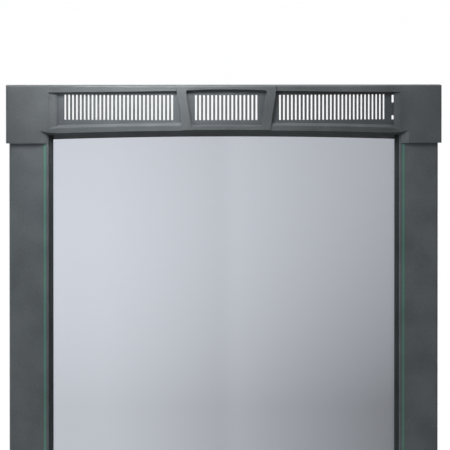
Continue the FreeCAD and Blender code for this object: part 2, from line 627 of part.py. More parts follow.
def make_top_cap_screws():
    screws = []
    seat = DOOR_HEIGHT - CAP_SCREW_SINK
    for x in port_places():
        for side in (-1, 1):
            head = upright(side * x, port_y(), CAP_SCREW_HEAD, seat, seat + CAP_SCREW_HEAD_HEIGHT)
            shank = upright(side * x, port_y(), PORT_RADIUS - 0.1, seat - CAP_SCREW_LENGTH, seat)
            socket = hexagon(SOCKET_FLATS, side * x, port_y(), seat + CAP_SCREW_HEAD_HEIGHT, 1.4, V(0, 0, -1))
            screws.append(head.fuse(shank).cut(socket))
    return Part.makeCompound(screws)


def countersunk(x, z, y, grow):
    """Countersunk screw along Y with its head flush at y, grown by a fit."""
    depth = HINGE_SCREW_HEAD - HINGE_SCREW_SHANK
    cone = Part.makeCone(HINGE_SCREW_SHANK + grow, HINGE_SCREW_HEAD + grow, depth, V(x, y - depth, z), V(0, 1, 0))
    return cone.fuse(through(x, z, HINGE_SCREW_SHANK + grow, y - HINGE_SCREW_LENGTH, y - depth))


def make_hinge_bracket_screws():
    screws = []
    head = STILE_BACK + HINGE_SHEET
    for z in bracket_screw_heights():
        socket = hexagon(SOCKET_FLATS, BRACKET_SCREW_X, head, z, 1.4, V(0, -1, 0))
        screws.append(countersunk(BRACKET_SCREW_X, z, head - 0.1, 0).cut(socket))
    return Part.makeCompound(screws)


# Hinges

def make_hinge_bracket():
    """Upper bracket: plate on the stile's back with a lug folded out at each end."""
    top = DOOR_HEIGHT - BRACKET_DROP
    foot = top - BRACKET_HEIGHT
    bracket = box(BRACKET_LEFT, BRACKET_RIGHT, STILE_BACK, STILE_BACK + HINGE_SHEET, foot, top)
    for z in (foot, top - HINGE_SHEET):
        arm = box(LUG_LEFT, AXIS_X, STILE_BACK, AXIS_Y + LUG_RADIUS, z, z + HINGE_SHEET)
        arm = arm.fuse(upright(AXIS_X, AXIS_Y, LUG_RADIUS, z, z + HINGE_SHEET))
        bracket = bracket.fuse(arm)
    bracket = bracket.cut(upright(AXIS_X, AXIS_Y, PIN_RADIUS + PIN_FIT, foot - 1, top + 1))
    for z in bracket_screw_heights():
        bracket = bracket.cut(countersunk(BRACKET_SCREW_X, z, STILE_BACK + HINGE_SHEET, SCREW_FIT))
    return bracket.removeSplitter()


def make_hinge_leaf():
    """Upper leaf: plate for the rack's front with an ear folded forward over the bracket."""
    plate = box(LEAF_LEFT, LEAF_RIGHT, LEAF_FACE - HINGE_SHEET, LEAF_FACE, EAR_TOP - LEAF_HEIGHT, EAR_TOP)
    ear = box(AXIS_X - EAR_REACH, AXIS_X, AXIS_Y, LEAF_FACE, EAR_FOOT, EAR_TOP)
    leaf = plate.fuse(ear).fuse(upright(AXIS_X, AXIS_Y, LUG_RADIUS, EAR_FOOT, EAR_TOP))
    leaf = leaf.cut(upright(AXIS_X, AXIS_Y, PIN_RADIUS + PIN_FIT, EAR_FOOT - 1, EAR_TOP + 1))
    for half in (-0.5, 0.5):
        z = LEAF_HOLE_MIDDLE + half * LEAF_HOLE_SPACING
        leaf = leaf.cut(through(LEAF_HOLE_X, z, LEAF_HOLE_RADIUS, LEAF_FACE - HINGE_SHEET - 1, LEAF_FACE + 1))
    return leaf.removeSplitter()


def clip_height():
    """Underside of the upper bracket's top lug, where the pin's clip stops."""
    return DOOR_HEIGHT - BRACKET_DROP - HINGE_SHEET


def make_upper_hinge_pin():
    """Sprung pin with a bent handle, and a groove for its clip."""
    top = EAR_TOP + PIN_ABOVE_EAR
    foot = DOOR_HEIGHT - BRACKET_DROP - BRACKET_HEIGHT - PIN_BELOW_LUG
    start = V(AXIS_X, AXIS_Y, foot + PIN_BEND)
    turn = V(AXIS_X - PIN_BEND * (1 - cos(pi / 4)), AXIS_Y, foot + PIN_BEND * (1 - sin(pi / 4)))
    level = V(AXIS_X - PIN_BEND, AXIS_Y, foot)
    path = Part.Wire([
        Part.makeLine(V(AXIS_X, AXIS_Y, top), start),
        Part.Arc(start, turn, level).toShape(),
        Part.makeLine(level, V(AXIS_X - PIN_HANDLE, AXIS_Y, foot)),
    ])
    section = Part.Wire(Part.makeCircle(PIN_RADIUS, V(AXIS_X, AXIS_Y, top), V(0, 0, 1)))
    pin = path.makePipeShell([section], True, True)
    if pin.Volume < 0:
        pin.reverse()
    tip = [e for e in pin.Edges if e.BoundBox.ZMin > top - 0.01]
    pin = pin.makeChamfer(0.8, tip)
    groove_top = clip_height() - 0.1
    groove = upright(AXIS_X, AXIS_Y, PIN_RADIUS + 1, groove_top - PIN_CLIP_THICKNESS - 0.2, groove_top)
    core = upright(AXIS_X, AXIS_Y, PIN_RADIUS - CLIP_GROOVE, groove_top - 5, groove_top + 5)
    return pin.cut(groove.cut(core))


def make_pin_clip():
    """Open clip in the pin's groove, on which the spring bears."""
    top = clip_height() - 0.2
    foot = top - PIN_CLIP_THICKNESS
    clip = upright(AXIS_X, AXIS_Y, PIN_CLIP_RADIUS, foot, top)
    clip = clip.cut(upright(AXIS_X, AXIS_Y, PIN_RADIUS - CLIP_GROOVE + 0.1, foot - 1, top + 1))
    return clip.cut(box(AXIS_X - 1.8, AXIS_X + 1.8, AXIS_Y, AXIS_Y + LUG_RADIUS + 1, foot - 1, top + 1))


def spring_span():
    """Foot and top of the spring, clear of the lower lug and of the clip."""
    lug = DOOR_HEIGHT - BRACKET_DROP - BRACKET_HEIGHT + HINGE_SHEET
    return lug + 0.05, clip_height() - 0.25 - PIN_CLIP_THICKNESS


def wire_section(turn, z):
    """Six-sided section of the spring's wire, upright and square to the coil at that angle."""
    out = V(cos(turn), sin(turn), 0)
    corners = []
    for i in range(SPRING_SIDES + 1):
        a = 2 * pi * i / SPRING_SIDES
        reach = SPRING_RADIUS + SPRING_WIRE / 2 * cos(a)
        corners.append(V(AXIS_X, AXIS_Y, z + SPRING_WIRE / 2 * sin(a)) + out * reach)
    return Part.makePolygon(corners)


def make_pin_spring():
    """Coil spring, lofted in straight steps through sections of its wire so that it stays light."""
    foot, top = spring_span()
    rise = top - foot - SPRING_WIRE
    count = SPRING_TURNS * SPRING_STEPS
    sections = []
    for i in range(count + 1):
        turn = 2 * pi * i / SPRING_STEPS
        sections.append(wire_section(turn, foot + SPRING_WIRE / 2 + rise * i / count))
    spring = Part.makeLoft(sections, True, True)
    if spring.Volume < 0:
        spring.reverse()
    return spring


def make_lower_hinge_pin():
    """Fixed pin, riveted under the lower leaf's ear."""
    ear_foot = DOOR_HEIGHT - EAR_TOP
    pin = upright(AXIS_X, AXIS_Y, PIN_RADIUS, ear_foot - 0.01, ear_foot + HINGE_SHEET + LOWER_PIN_RISE)
    tip = [e for e in pin.Edges if e.BoundBox.ZMin > ear_foot + HINGE_SHEET]
    pin = pin.makeChamfer(1.0, tip[:1])
    return pin.fuse(upright(AXIS_X, AXIS_Y, LOWER_PIN_HEAD, ear_foot - LOWER_PIN_HEAD_HEIGHT, ear_foot))


def make_hinge_washer():
    """Nylon washer on which the door stands, between the lower ear and the lower bracket."""
    foot = DOOR_HEIGHT - EAR_FOOT
    washer = upright(AXIS_X, AXIS_Y, LUG_RADIUS, foot, foot + EAR_GAP)
    return washer.cut(upright(AXIS_X, AXIS_Y, PIN_RADIUS + 0.15, foot - 1, foot + EAR_GAP + 1))


# Cam lock

def make_lock_body():
    body = through(LOCK_X, LOCK_Z, LOCK_FLANGE, STILE_FACE - LOCK_FLANGE_THICKNESS, STILE_FACE)
    rim = [e for e in body.Edges if e.BoundBox.YMax < STILE_FACE - LOCK_FLANGE_THICKNESS + 0.01]
    body = body.makeChamfer(1.0, rim)
    body = body.fuse(through(LOCK_X, LOCK_Z, LOCK_BARREL, STILE_FACE, STILE_BACK + LOCK_BEHIND))
    return body.cut(through(LOCK_X, LOCK_Z, PLUG_RADIUS + PIN_FIT, STILE_FACE - 10, STILE_BACK + 40))


def make_lock_nut():
    nut = hexagon(LOCK_NUT_FLATS, LOCK_X, STILE_BACK, LOCK_Z, LOCK_NUT_THICKNESS, V(0, 1, 0))
    return nut.cut(through(LOCK_X, LOCK_Z, LOCK_BARREL + 0.1, STILE_BACK - 1, STILE_BACK + LOCK_NUT_THICKNESS + 1))


def plug_end():
    return STILE_BACK + LOCK_BEHIND


def make_lock_plug():
    front = STILE_FACE - LOCK_FLANGE_THICKNESS - PLUG_PROUD
    end = plug_end()
    plug = through(LOCK_X, LOCK_Z, PLUG_RADIUS, front, end)
    half = PLUG_TAIL / 2
    plug = plug.fuse(box(LOCK_X - half, LOCK_X + half, end, end + PLUG_TAIL_LENGTH, LOCK_Z - half, LOCK_Z + half))
    width, tall, deep = KEYWAY
    plug = plug.cut(box(LOCK_X - width / 2, LOCK_X + width / 2, front - 1, front + deep,
                        LOCK_Z - tall / 2, LOCK_Z + tall / 2))
    hole = through(LOCK_X, LOCK_Z, CAM_SCREW_SHANK + 0.1, end - 8, end + PLUG_TAIL_LENGTH + 1)
    return plug.cut(hole)


def make_lock_cam():
    """Flat cam on the plug's square tail, pointing outwards when locked."""
    y0 = plug_end() + 0.1
    y1 = y0 + CAM_THICKNESS
    half = PLUG_TAIL / 2 + 0.1
    reach = box(LOCK_X - CAM_REACH, LOCK_X, y0, y1, LOCK_Z - CAM_WIDTH / 2, LOCK_Z + CAM_WIDTH / 2)
    cam = reach.fuse(through(LOCK_X, LOCK_Z, CAM_WIDTH / 2, y0, y1))
    cam = cam.cut(box(LOCK_X - half, LOCK_X + half, y0 - 1, y1 + 1, LOCK_Z - half, LOCK_Z + half))
    tip = [e for e in cam.Edges
           if e.BoundBox.YLength > 1 and abs(e.CenterOfMass.x - LOCK_X + CAM_REACH) < 0.01]
    return cam.makeFillet(3.0, tip)


def make_cam_screw():
    seat = plug_end() + PLUG_TAIL_LENGTH
    head = through(LOCK_X, LOCK_Z, CAM_SCREW_HEAD, seat, seat + CAM_SCREW_HEAD_HEIGHT)
    socket = hexagon(SOCKET_FLATS, LOCK_X, seat + CAM_SCREW_HEAD_HEIGHT, LOCK_Z, 1.6, V(0, -1, 0))
    return head.fuse(through(LOCK_X, LOCK_Z, CAM_SCREW_SHANK, seat - 6, seat)).cut(socket)


# The pieces by name

def put_out(node, shape):
    placed = shape.copy()
    placed.translate(ROW_ORIGIN * -1)
    placed.exportStep("parts/" + node + ".step")


os.makedirs("parts", exist_ok=True)
put_out("top_cap", make_top_cap())
put_out("bottom_cap", turn_over(plain_cap()))
put_out("keystone_bezel", make_keystone_bezel())
put_out("vent_plate", make_vent_plate())
put_out("vent_plate_clips", make_vent_plate_clips())
put_out("right_stile", make_right_stile())
put_out("left_stile", make_left_stile())
put_out("right_accent_strip", make_accent_strip())
put_out("left_accent_strip", mirror_x(make_accent_strip()))
put_out("acrylic_panel", make_panel())
put_out("right_gasket", make_side_gasket())
put_out("left_gasket", mirror_x(make_side_gasket()))
put_out("top_gasket", make_top_gasket())
put_out("bottom_gasket", turn_over(make_top_gasket()))
put_out("top_cap_screws", make_top_cap_screws())
put_out("bottom_cap_screws", turn_over(make_top_cap_screws()))
put_out("upper_hinge_bracket", make_hinge_bracket())
put_out("lower_hinge_bracket", turn_over(make_hinge_bracket()))
put_out("hinge_bracket_screws", make_hinge_bracket_screws())
put_out("upper_hinge_leaf", make_hinge_leaf())
put_out("lower_hinge_leaf", turn_over(make_hinge_leaf()))
put_out("upper_hinge_pin", make_upper_hinge_pin())
put_out("pin_clip", make_pin_clip())
put_out("pin_spring", make_pin_spring())
put_out("lower_hinge_pin", make_lower_hinge_pin())
put_out("hinge_washer", make_hinge_washer())
put_out("lock_body", make_lock_body())
put_out("lock_nut", make_lock_nut())
put_out("lock_plug", make_lock_plug())
put_out("lock_cam", make_lock_cam())
put_out("cam_screw", make_cam_screw())
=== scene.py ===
# %% [markdown]
# # Acrylic rack door
# A front door for an equipment rack: two dark grey stiles, a moulded cap at each end, and a bowed
# sheet of smoked acrylic between them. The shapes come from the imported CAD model, which this lesson
# loads as a fixed frame. Blender then gives it a camera, finishes, one fine piece and studio light.

# %% Load the frame
import math

import bpy
import numpy as np
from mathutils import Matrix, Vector


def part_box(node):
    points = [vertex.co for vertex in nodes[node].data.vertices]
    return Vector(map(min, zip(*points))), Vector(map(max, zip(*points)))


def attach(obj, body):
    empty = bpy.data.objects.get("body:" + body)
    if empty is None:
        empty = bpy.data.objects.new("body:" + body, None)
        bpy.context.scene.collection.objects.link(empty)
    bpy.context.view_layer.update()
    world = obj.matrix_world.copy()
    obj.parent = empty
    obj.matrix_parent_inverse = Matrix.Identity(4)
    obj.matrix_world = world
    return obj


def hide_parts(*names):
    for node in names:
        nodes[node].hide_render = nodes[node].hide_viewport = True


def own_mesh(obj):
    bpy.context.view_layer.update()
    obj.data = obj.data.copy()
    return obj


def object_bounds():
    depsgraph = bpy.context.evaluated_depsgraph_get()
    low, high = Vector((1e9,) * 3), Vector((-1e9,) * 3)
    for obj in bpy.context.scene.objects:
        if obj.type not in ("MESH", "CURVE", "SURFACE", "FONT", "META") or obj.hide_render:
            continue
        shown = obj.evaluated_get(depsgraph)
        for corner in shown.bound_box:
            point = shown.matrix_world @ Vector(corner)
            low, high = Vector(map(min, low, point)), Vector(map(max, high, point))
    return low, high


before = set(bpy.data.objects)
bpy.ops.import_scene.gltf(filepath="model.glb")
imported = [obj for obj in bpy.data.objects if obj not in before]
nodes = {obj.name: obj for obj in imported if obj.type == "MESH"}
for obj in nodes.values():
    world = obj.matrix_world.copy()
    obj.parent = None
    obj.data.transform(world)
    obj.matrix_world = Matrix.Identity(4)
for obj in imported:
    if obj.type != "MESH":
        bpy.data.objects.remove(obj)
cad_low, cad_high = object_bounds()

scene = bpy.context.scene
MM = 0.001
print("CAD nodes:", len(nodes), "from", tuple(cad_low), "to", tuple(cad_high))

# %% [markdown]
# ## Small helpers
# Colours are written as the hex values that a paint card would show. A shader wants linear light
# instead, so one function turns them. Another adds a shader node with its settings and links, a
# third starts a finish, and a fourth puts it on CAD nodes. Every finish below uses these.

# %% Helpers


def linear(hex_colour):
    """sRGB hex to linear RGBA: undo the display curve, channel by channel."""
    srgb = np.array([int(hex_colour[i:i + 2], 16) for i in (1, 3, 5)]) / 255
    light = np.where(srgb <= 0.04045, srgb / 12.92, ((srgb + 0.055) / 1.055) ** 2.4)
    return (*light.tolist(), 1.0)


def add_node(tree, kind, inputs, **settings):
    """Adds one node. Settings are its own properties, inputs are values or other nodes' sockets."""
    node = tree.nodes.new(kind)
    for name, value in settings.items():
        setattr(node, name, value)
    for name, value in inputs.items():
        if isinstance(value, bpy.types.NodeSocket):
            tree.links.new(value, node.inputs[name])
        else:
            node.inputs[name].default_value = value
    return node


def start_finish(name, **sockets):
    """A material with one Principled shader. Even values go straight onto its sockets."""
    material = bpy.data.materials.new(name)
    material.use_nodes = True
    shader = material.node_tree.nodes["Principled BSDF"]
    for socket, value in sockets.items():
        shader.inputs[socket.replace("_", " ")].default_value = value
    return material, material.node_tree, shader


def dress(material, slot_name, *names):
    """Gives CAD nodes a finish. slot_name is not used."""
    for name in names:
        nodes[name].data.materials.clear()
        nodes[name].data.materials.append(material)
    print(material.name, "on", ", ".join(names))


print("helpers ready")

# %% [markdown]
# ## Camera
# The picture was taken from far away with a long lens, a little left of the middle and a little
# above the level of the cap. The distance shows in how much the bowed middle overlaps the flat end
# blocks, so the camera stands nearly twelve metres off. It looks at a point below the cap, because
# the picture cuts the door well above its foot. The lens is the one that makes the cap as wide as
# it is in the picture.

# %% Camera
CAMERA_AZIMUTH = math.radians(-3.444)
CAMERA_ELEVATION = math.radians(2.156)
CAMERA_DISTANCE = 11.946
CAMERA_LENS = 693.7
CAMERA_SENSOR = 36.0
CAMERA_REACH = 400.0
LOOK_RIGHT_OF_MIDDLE = 0.7 * MM
LOOK_BELOW_TOP = 192.8 * MM

cap_low, cap_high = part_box("top_cap")
stile_low, stile_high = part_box("right_stile")
door_middle = (cap_low.x + cap_high.x) / 2
cap_overhang = cap_high.x - stile_high.x
block_face = stile_low.y - cap_overhang
look_at = Vector((door_middle + LOOK_RIGHT_OF_MIDDLE, block_face, cap_high.z - LOOK_BELOW_TOP))
back = Vector((
    math.sin(CAMERA_AZIMUTH) * math.cos(CAMERA_ELEVATION),
    -math.cos(CAMERA_AZIMUTH) * math.cos(CAMERA_ELEVATION),
    math.sin(CAMERA_ELEVATION),
))

camera = bpy.data.objects.new("camera", bpy.data.cameras.new("camera"))
scene.collection.objects.link(camera)
camera.location = look_at + back * CAMERA_DISTANCE
camera.rotation_euler = (-back).to_track_quat("-Z", "Y").to_euler()
camera.data.sensor_width = CAMERA_SENSOR
camera.data.lens = CAMERA_LENS
camera.data.clip_end = CAMERA_REACH
scene.camera = camera
scene.view_settings.view_transform = "Standard"
print("camera at", tuple(round(v, 3) for v in camera.location))

# %% [markdown]
# ## Moulded plastic of the caps
# The caps and the keystone are ABS, moulded in a tool with a fine spark texture. The eye sees a
# dull dark grey with a faint grain and soft highlights. The real grain is under half a millimetre,
# too fine for one picture point, so it is drawn about a millimetre and a half wide. Bump gives the
# grain its light and shade, and a slow mottle keeps large faces from looking printed. The other
# coated pieces use the same grain in their own sizes.

# %% Grain for moulded and coated faces
MOTTLE = 45 * MM
NOISE_LOW, NOISE_HIGH = 0.3, 0.7
FINE_SHARE = 0.7
DARK_BELOW, PALE_ABOVE = 0.62, 1.0


def grained(tree, shader, dark, pale, grain, depth, rough):
    """Noise of two sizes: fine grain bumps the surface, and FINE_SHARE of it plus the slow mottle
    shifts the colour between two shades. rough gives the roughness in the hollows and on the tops
    of the grain."""
    place = add_node(tree, "ShaderNodeTexCoord", {})
    fine = add_node(tree, "ShaderNodeTexNoise",
                    {"Vector": place.outputs["Object"], "Scale": 1 / grain, "Detail": 2.0, "Roughness": 0.6})
    slow = add_node(tree, "ShaderNodeTexNoise",
                    {"Vector": place.outputs["Object"], "Scale": 1 / MOTTLE, "Detail": 2.0, "Roughness": 0.5})
    both = add_node(tree, "ShaderNodeMath",
                    {0: fine.outputs["Fac"], 1: FINE_SHARE, 2: slow.outputs["Fac"]}, operation="MULTIPLY_ADD")
    colour = add_node(tree, "ShaderNodeValToRGB", {"Fac": both.outputs[0]})
    low, high = colour.color_ramp.elements
    low.position, low.color = DARK_BELOW, linear(dark)
    high.position, high.color = PALE_ABOVE, linear(pale)
    gloss = add_node(tree, "ShaderNodeMapRange",
                     {"Value": fine.outputs["Fac"], "From Min": NOISE_LOW, "From Max": NOISE_HIGH,
                      "To Min": rough[0], "To Max": rough[1]})
    bump = add_node(tree, "ShaderNodeBump",
                    {"Height": fine.outputs["Fac"], "Strength": 1.0, "Distance": depth})
    tree.links.new(colour.outputs["Color"], shader.inputs["Base Color"])
    tree.links.new(gloss.outputs["Result"], shader.inputs["Roughness"])
    tree.links.new(bump.outputs["Normal"], shader.inputs["Normal"])


cap_plastic, tree, shader = start_finish("moulded_abs_dark_grey", IOR=1.53)
grained(tree, shader, "#383C3E", "#434749", grain=1.5 * MM, depth=0.05 * MM, rough=(0.66, 0.54))
dress(cap_plastic, "cap_plastic", "top_cap", "bottom_cap", "keystone_bezel")

# %% [markdown]
# ## Powder coat of the stiles and the vent plate
# The stiles are aluminium extrusions under a textured powder coat of nearly the same grey. A powder
# coat has a slightly larger, rounder grain than the moulded plastic, the familiar orange peel, and
# a touch more gloss. The slotted plate behind the windows is sheet steel with a thinner, smoother
# coat.

# %% Powder coats
stile_coat, tree, shader = start_finish("powder_coated_aluminium", IOR=1.52)
grained(tree, shader, "#3E4346", "#4A4F52", grain=2.0 * MM, depth=0.06 * MM, rough=(0.62, 0.5))
dress(stile_coat, "stile_aluminium", "left_stile", "right_stile")

plate_coat, tree, shader = start_finish("powder_coated_sheet_steel", IOR=1.52)
grained(tree, shader, "#393D40", "#44484B", grain=1.2 * MM, depth=0.03 * MM, rough=(0.58, 0.48))
dress(plate_coat, "plate_steel", "vent_plate")

# %% [markdown]
# ## Smoked acrylic
# The window is cast acrylic with a light, cool grey dye. It is clear, not frosted: the white studio
# shows through it dimmed, and its polished face mirrors the room faintly. A glass shader with
# acrylic's index of refraction does both, and its colour is what the dye lets through. Cast sheet
# is never quite flat, so a slow swell a few hundredths of a millimetre deep bends the reflections,
# and handling leaves the polish duller in patches.

# %% Acrylic
DYE = "#C2C6CE"
SWELL = 160 * MM
SWELL_DEPTH = 0.04 * MM
POLISHED, HANDLED = 0.02, 0.06

acrylic, tree, shader = start_finish("smoked_cast_acrylic", IOR=1.49, Transmission_Weight=1.0,
                                     Base_Color=linear(DYE))
place = add_node(tree, "ShaderNodeTexCoord", {})
swell = add_node(tree, "ShaderNodeTexNoise",
                 {"Vector": place.outputs["Object"], "Scale": 1 / SWELL, "Detail": 1.0, "Roughness": 0.4})
sheet_bump = add_node(tree, "ShaderNodeBump",
                      {"Height": swell.outputs["Fac"], "Strength": 1.0, "Distance": SWELL_DEPTH})
polish = add_node(tree, "ShaderNodeMapRange",
                  {"Value": swell.outputs["Fac"], "From Min": NOISE_LOW, "From Max": NOISE_HIGH,
                   "To Min": POLISHED, "To Max": HANDLED})
tree.links.new(sheet_bump.outputs["Normal"], shader.inputs["Normal"])
tree.links.new(polish.outputs["Result"], shader.inputs["Roughness"])
dress(acrylic, "smoked_acrylic", "acrylic_panel")

# %% [markdown]
# ## Small finishes
# The inlays are green PVC strip with a satin face. The glazing channels are black EPDM rubber, dull
# and faintly bloomed. Screws, pins, clips and the lock's cam are zinc plated steel, the hinge
# sheets are black coated steel, the lock is chromed, and the washer is natural nylon.

# %% Small finishes
inlay, tree, shader = start_finish("green_pvc_inlay", IOR=1.53)
grained(tree, shader, "#3C6156", "#466C60", grain=1.5 * MM, depth=0.02 * MM, rough=(0.45, 0.35))
dress(inlay, "accent_green", "left_accent_strip", "right_accent_strip")

rubber, tree, shader = start_finish("black_epdm_rubber", IOR=1.5)
grained(tree, shader, "#1A1E1F", "#252A2C", grain=1.2 * MM, depth=0.03 * MM, rough=(0.8, 0.68))
dress(rubber, "black_rubber", "left_gasket", "right_gasket", "top_gasket", "bottom_gasket")

zinc, tree, shader = start_finish("zinc_plated_steel", Metallic=1.0)
grained(tree, shader, "#A9ADB0", "#C3C7CA", grain=0.8 * MM, depth=0.01 * MM, rough=(0.42, 0.3))
dress(zinc, "zinc_steel", "top_cap_screws", "bottom_cap_screws", "hinge_bracket_screws", "upper_hinge_pin",
      "pin_clip", "pin_spring", "lower_hinge_pin", "cam_screw", "vent_plate_clips", "lock_cam", "lock_nut")

hinge_coat, tree, shader = start_finish("black_coated_hinge_steel", IOR=1.52)
grained(tree, shader, "#1E2021", "#292B2D", grain=1.2 * MM, depth=0.03 * MM, rough=(0.5, 0.4))
dress(hinge_coat, "hinge_steel", "upper_hinge_bracket", "lower_hinge_bracket", "upper_hinge_leaf",
      "lower_hinge_leaf")

chrome, tree, shader = start_finish("chromed_zinc_casting", Metallic=1.0)
grained(tree, shader, "#C9CCCE", "#DADDDF", grain=3.0 * MM, depth=0.004 * MM, rough=(0.14, 0.08))
dress(chrome, "lock_chrome", "lock_body", "lock_plug")

washer, tree, shader = start_finish("natural_nylon", IOR=1.53, Subsurface_Weight=0.2)
grained(tree, shader, "#D8D5CA", "#E4E1D7", grain=1.0 * MM, depth=0.01 * MM, rough=(0.5, 0.4))
dress(washer, "nylon", "hinge_washer")

# %% [markdown]
# ## Spring on the upper hinge pin
# The upper hinge pin drops out of its ear when it is pulled down, and a coil spring pushes it back.
# The CAD spring has flat-sided wire to stay light. Here the wire is round: a ring swept along a
# helix, with the end turns closed up, as on a real compression spring.

# %% Shape of the spring wire
TURNS = 7
END_TURNS = 0.9
WIRE_DIAMETER = 1.2 * MM

spring_low, spring_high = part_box("pin_spring")
spring_height = spring_high.z - spring_low.z
axis_x = (spring_low.x + spring_high.x) / 2
axis_y = (spring_low.y + spring_high.y) / 2
coil_radius = (spring_high.x - spring_low.x - WIRE_DIAMETER) / 2


def coil_rise(turn):
    """Height share along the spring: a straight rise through the middle turns, and one wire a turn in the
    closed end turns."""
    closed = WIRE_DIAMETER / (spring_height - WIRE_DIAMETER)
    steps = [0.0, END_TURNS, TURNS - END_TURNS, TURNS]
    return np.interp(turn, steps, [0.0, closed * END_TURNS, 1 - closed * END_TURNS, 1.0])


def wire_surface(turn, round_wire):
    """Round wire along a helix: the ring stands square to the coil, in the plane of the axis and
    the radius."""
    angle = 2 * np.pi * turn
    reach = coil_radius + WIRE_DIAMETER / 2 * np.cos(round_wire)
    middle = WIRE_DIAMETER / 2 + (spring_height - WIRE_DIAMETER) * coil_rise(turn)
    return np.stack([
        axis_x + reach * np.cos(angle),
        axis_y + reach * np.sin(angle),
        spring_low.z + middle + WIRE_DIAMETER / 2 * np.sin(round_wire),
    ], axis=-1)


print("spring", round(spring_height / MM, 1), "mm high, coil radius", round(coil_radius / MM, 2), "mm")

# %% [markdown]
# A surface becomes a mesh by joining each point to its neighbours on the grid. The wire is also a
# ring in one direction, so its last column joins its first and its two ends are closed by a face.

# %% Spring wire
STEPS_PER_TURN = 28
WIRE_SIDES = 10


def grid_object(name, points, ring=False):
    """Mesh object from a grid of points, shape (rows, columns, 3): each cell becomes one
    four-sided face. With ring, each row is a closed loop: its last point joins its first, and
    the end rows get a face of their own."""
    rows, columns = points.shape[:2]
    index = np.arange(rows * columns).reshape(rows, columns)
    if ring:
        index = np.concatenate([index, index[:, :1]], axis=1)
    cells = np.stack([index[:-1, :-1], index[1:, :-1], index[1:, 1:], index[:-1, 1:]], axis=-1)
    faces = cells.reshape(-1, 4).tolist()
    if ring:
        faces += [index[0, :-1].tolist(), index[-1, -2::-1].tolist()]
    mesh = bpy.data.meshes.new(name)
    mesh.from_pydata(points.reshape(-1, 3).tolist(), [], faces)
    mesh.update()
    thing = bpy.data.objects.new(name, mesh)
    scene.collection.objects.link(thing)
    return thing


along = np.linspace(0.0, TURNS, TURNS * STEPS_PER_TURN + 1)
around = np.linspace(0.0, 2 * np.pi, WIRE_SIDES, endpoint=False)
turn, round_wire = np.meshgrid(along, around, indexing="ij")
spring = grid_object("spring_wire", wire_surface(turn, round_wire), ring=True)
spring.data.polygons.foreach_set("use_smooth", np.ones(len(spring.data.polygons), dtype=bool))
spring.data.materials.append(zinc)
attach(spring, "door")
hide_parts("pin_spring")
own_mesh(spring)
print("spring wire faces:", len(spring.data.polygons))

# %% [markdown]
# ## Studio
# The picture has a plain white surround, and the door is lit from above and a little to the left.
# Straight at the camera, and through the clear panel, the surround is white. The rest of the door
# sees a bright ceiling, which catches the rounded edges, a dim room in front and a paler one
# behind, so undersides and recesses stay dark.

# %% World
ROOM_FRONT = 0.18
ROOM_BACK = 0.5
CEILING = 1.4
BACK_FROM, BACK_TO = -0.4, 0.5
CEILING_FROM, CEILING_TO = 0.35, 0.75
WHITE = (1.0, 1.0, 1.0, 1.0)

world = bpy.data.worlds.new("white_studio")
scene.world = world
world.use_nodes = True
tree = world.node_tree
direction = add_node(tree, "ShaderNodeTexCoord", {})
parts = add_node(tree, "ShaderNodeSeparateXYZ", {"Vector": direction.outputs["Generated"]})
walls = add_node(tree, "ShaderNodeMapRange",
                 {"Value": parts.outputs["Y"], "From Min": BACK_FROM, "From Max": BACK_TO,
                  "To Min": ROOM_FRONT, "To Max": ROOM_BACK}, interpolation_type="SMOOTHSTEP")
room = add_node(tree, "ShaderNodeMapRange",
                {"Value": parts.outputs["Z"], "From Min": CEILING_FROM, "From Max": CEILING_TO,
                 "To Min": walls.outputs["Result"], "To Max": CEILING}, interpolation_type="SMOOTHSTEP")
path = add_node(tree, "ShaderNodeLightPath", {})
seen = add_node(tree, "ShaderNodeMath",
                {0: path.outputs["Is Camera Ray"], 1: path.outputs["Is Transmission Ray"]},
                operation="MAXIMUM")
level = add_node(tree, "ShaderNodeMath",
                 {0: seen.outputs[0], 1: room.outputs["Result"]}, operation="MAXIMUM")
tree.links.new(level.outputs[0], tree.nodes["Background"].inputs["Strength"])
tree.nodes["Background"].inputs["Color"].default_value = WHITE
print("world: room", ROOM_FRONT, "in front,", ROOM_BACK, "behind,", CEILING, "above, white where it is seen")

# %% [markdown]
# The floor is a pale disc just below the foot, wide enough to hide its own edge. Only the camera
# sees it, so it throws no light up into the recesses and does not show through the panel.

# %% Floor
FLOOR_BELOW_FOOT = 30 * MM
FLOOR_RADIUS = 200.0
FLOOR_RINGS = 8
FLOOR_SIDES = 64

outwards, around = np.meshgrid(np.linspace(0.0, FLOOR_RADIUS, FLOOR_RINGS),
                               np.linspace(0.0, 2 * np.pi, FLOOR_SIDES + 1), indexing="ij")
floor_height = cad_low.z - FLOOR_BELOW_FOOT
floor = grid_object("floor", np.stack([
    door_middle + outwards * np.cos(around),
    outwards * np.sin(around),
    np.full_like(outwards, floor_height),
], axis=-1))
pale_floor, _, _ = start_finish("pale_floor", Base_Color=linear("#FAFAFB"), Roughness=0.8)
floor.data.materials.append(pale_floor)
floor.visible_diffuse = False
floor.visible_glossy = False
floor.visible_transmission = False
print("floor at", round(floor_height, 3))
